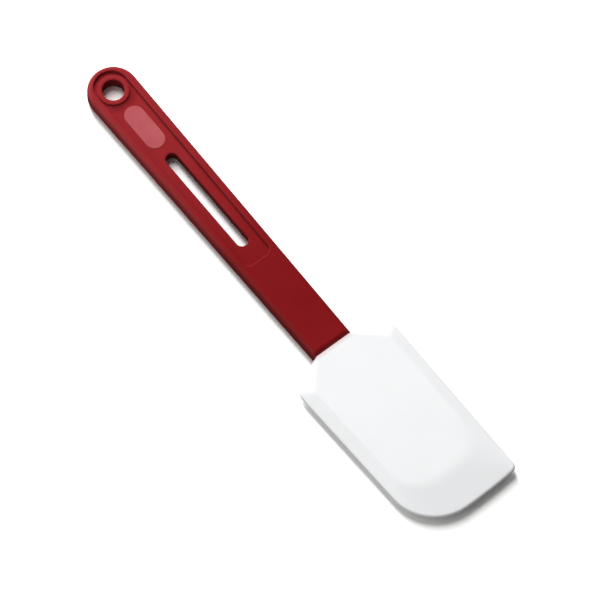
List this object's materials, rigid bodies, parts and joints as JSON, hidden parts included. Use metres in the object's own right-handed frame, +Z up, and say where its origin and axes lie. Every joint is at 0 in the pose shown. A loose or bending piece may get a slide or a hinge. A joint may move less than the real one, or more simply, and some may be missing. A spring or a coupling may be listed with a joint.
{
  "type": "silicone spatula",
  "caption": "Flat scraper spatula: a stiff, slotted plastic handle with a hanging hole in its round end, and a broad silicone blade with a square corner and a rounded corner.",
  "frame": {"origin": "half way along the tool, on the handle's centre line, in the plane of the handle's underside, which it lies on", "axes": "+X along the handle from the hanging end to the blade's tip, +Y towards the blade's straight side, +Z up from the surface that the tool lies on"},
  "size_m": [0.2412, 0.0491, 0.008],
  "materials": {
    "handle_nylon": "satin",
    "inlay_plastic": "satin",
    "blade_silicone": "satin"
  },
  "bodies": {
    "root": {"handle": "handle_nylon", "label_inlay": "inlay_plastic", "blade": "blade_silicone"}
  },
  "joints": []
}
